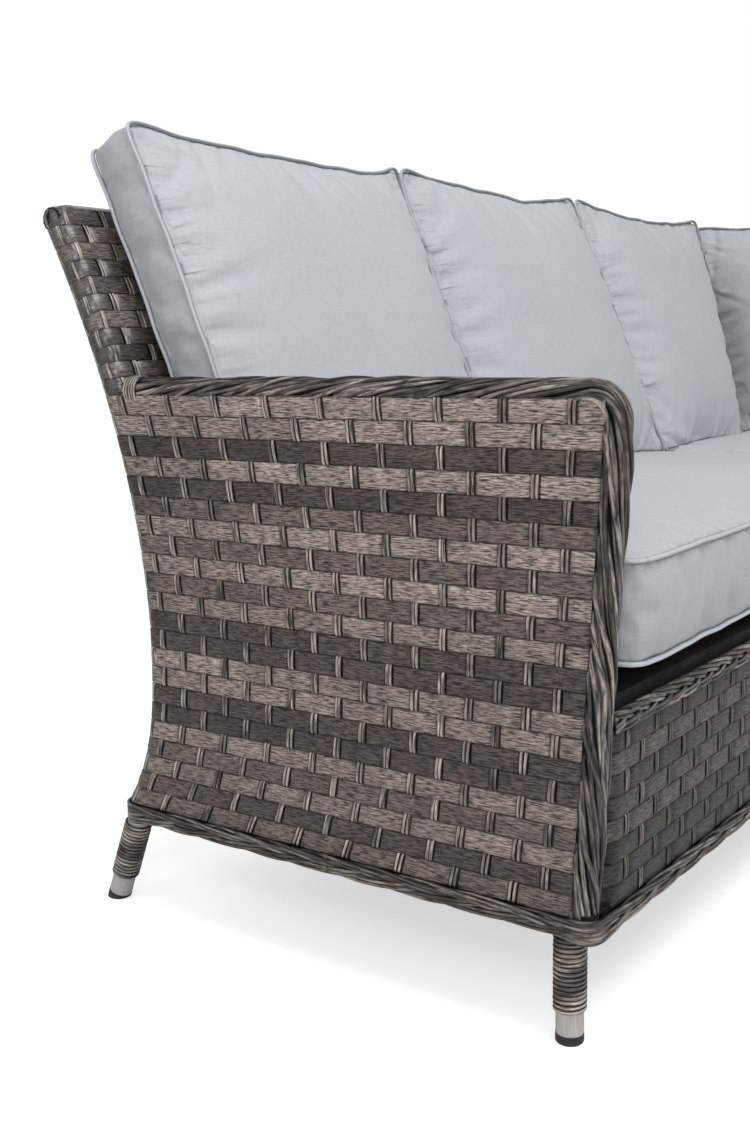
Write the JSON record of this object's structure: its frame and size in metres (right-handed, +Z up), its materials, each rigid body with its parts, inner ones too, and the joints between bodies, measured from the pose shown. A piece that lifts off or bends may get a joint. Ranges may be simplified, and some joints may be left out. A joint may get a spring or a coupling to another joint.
{
  "type": "rattan garden sofa",
  "caption": "Woven rattan garden sofa with one arm, a long seat, a corner seat with a returning back, braided edges, wrapped legs and loose cushions.",
  "frame": {"origin": "on the ground, under the middle of the sofa's box", "axes": "+X along the sofa from its arm to its corner, +Y towards its back, +Z up"},
  "size_m": [2.0334, 0.7558, 0.9393],
  "materials": {
    "weave": "flat woven strips, grey-brown, satin",
    "braid": "braided strands, grey-brown, satin",
    "tube": "satin taupe tube",
    "rubber": "matte black",
    "cloth": "light grey woven cloth over foam"
  },
  "bodies": {
    "frame": {"apron_post": "tube", "apron_top_braid": "braid", "apron_weave": "weave", "arm_braid_collar": "braid", "arm_rim_braid": "braid", "arm_tube": "tube", "arm_weave_inner": "weave", "arm_weave_outer": "weave", "back_end_weave": "weave", "back_weave_inner": "weave", "back_weave_outer": "weave", "bottom_braid_front": "braid", "bottom_braid_left": "braid", "bottom_braid_rear": "braid", "bottom_braid_right": "braid", "bottom_rail_front": "tube", "bottom_rail_left": "tube", "bottom_rail_rear": "tube", "bottom_rail_right": "tube", "foot_cap_front_left": "rubber", "foot_cap_front_mid": "rubber", "foot_cap_front_right": "rubber", "foot_cap_rear_left": "rubber", "foot_cap_rear_mid": "rubber", "foot_cap_rear_right": "rubber", "leg_front_left": "tube", "leg_front_mid": "tube", "leg_front_right": "tube", "leg_rear_left": "tube", "leg_rear_mid": "tube", "leg_rear_right": "tube", "leg_winding_front_left": "braid", "leg_winding_front_mid": "braid", "leg_winding_front_right": "braid", "leg_winding_rear_left": "braid", "leg_winding_rear_mid": "braid", "leg_winding_rear_right": "braid", "return_end_weave": "weave", "return_weave_inner": "weave", "return_weave_outer": "weave", "seat_bar_1": "tube", "seat_bar_2": "tube", "seat_deck_weave": "weave", "seat_rail_front": "tube", "seat_rail_left": "tube", "seat_rail_rear": "tube", "seat_rail_return": "tube", "top_rail_back": "tube", "top_rail_return": "tube", "upright_corner": "tube", "upright_rear_left": "tube", "upright_rear_mid": "tube", "upright_return": "tube"},
    "bench_cushion": {"seat_cushion_bench": "cloth"},
    "corner_cushion": {"seat_cushion_corner": "cloth"},
    "back_cushion_a": {"back_cushion_1": "cloth"},
    "back_cushion_b": {"back_cushion_2": "cloth"},
    "back_cushion_c": {"back_cushion_3": "cloth"},
    "back_cushion_d": {"back_cushion_4": "cloth"}
  },
  "joints": [
    {"name": "bench_cushion_lift", "type": "slide", "parent": "frame", "child": "bench_cushion", "axis": [0, 0, 1], "range_m": [0, 0.3]},
    {"name": "corner_cushion_lift", "type": "slide", "parent": "frame", "child": "corner_cushion", "axis": [0, 0, 1], "range_m": [0, 0.3]},
    {"name": "back_cushion_a_lift", "type": "slide", "parent": "bench_cushion", "child": "back_cushion_a", "axis": [0, 0, 1], "range_m": [0, 0.3]},
    {"name": "back_cushion_b_lift", "type": "slide", "parent": "bench_cushion", "child": "back_cushion_b", "axis": [0, 0, 1], "range_m": [0, 0.3]},
    {"name": "back_cushion_c_lift", "type": "slide", "parent": "corner_cushion", "child": "back_cushion_c", "axis": [0, 0, 1], "range_m": [0, 0.3]},
    {"name": "back_cushion_d_lift", "type": "slide", "parent": "corner_cushion", "child": "back_cushion_d", "axis": [0, 0, 1], "range_m": [0, 0.3]}
  ]
}
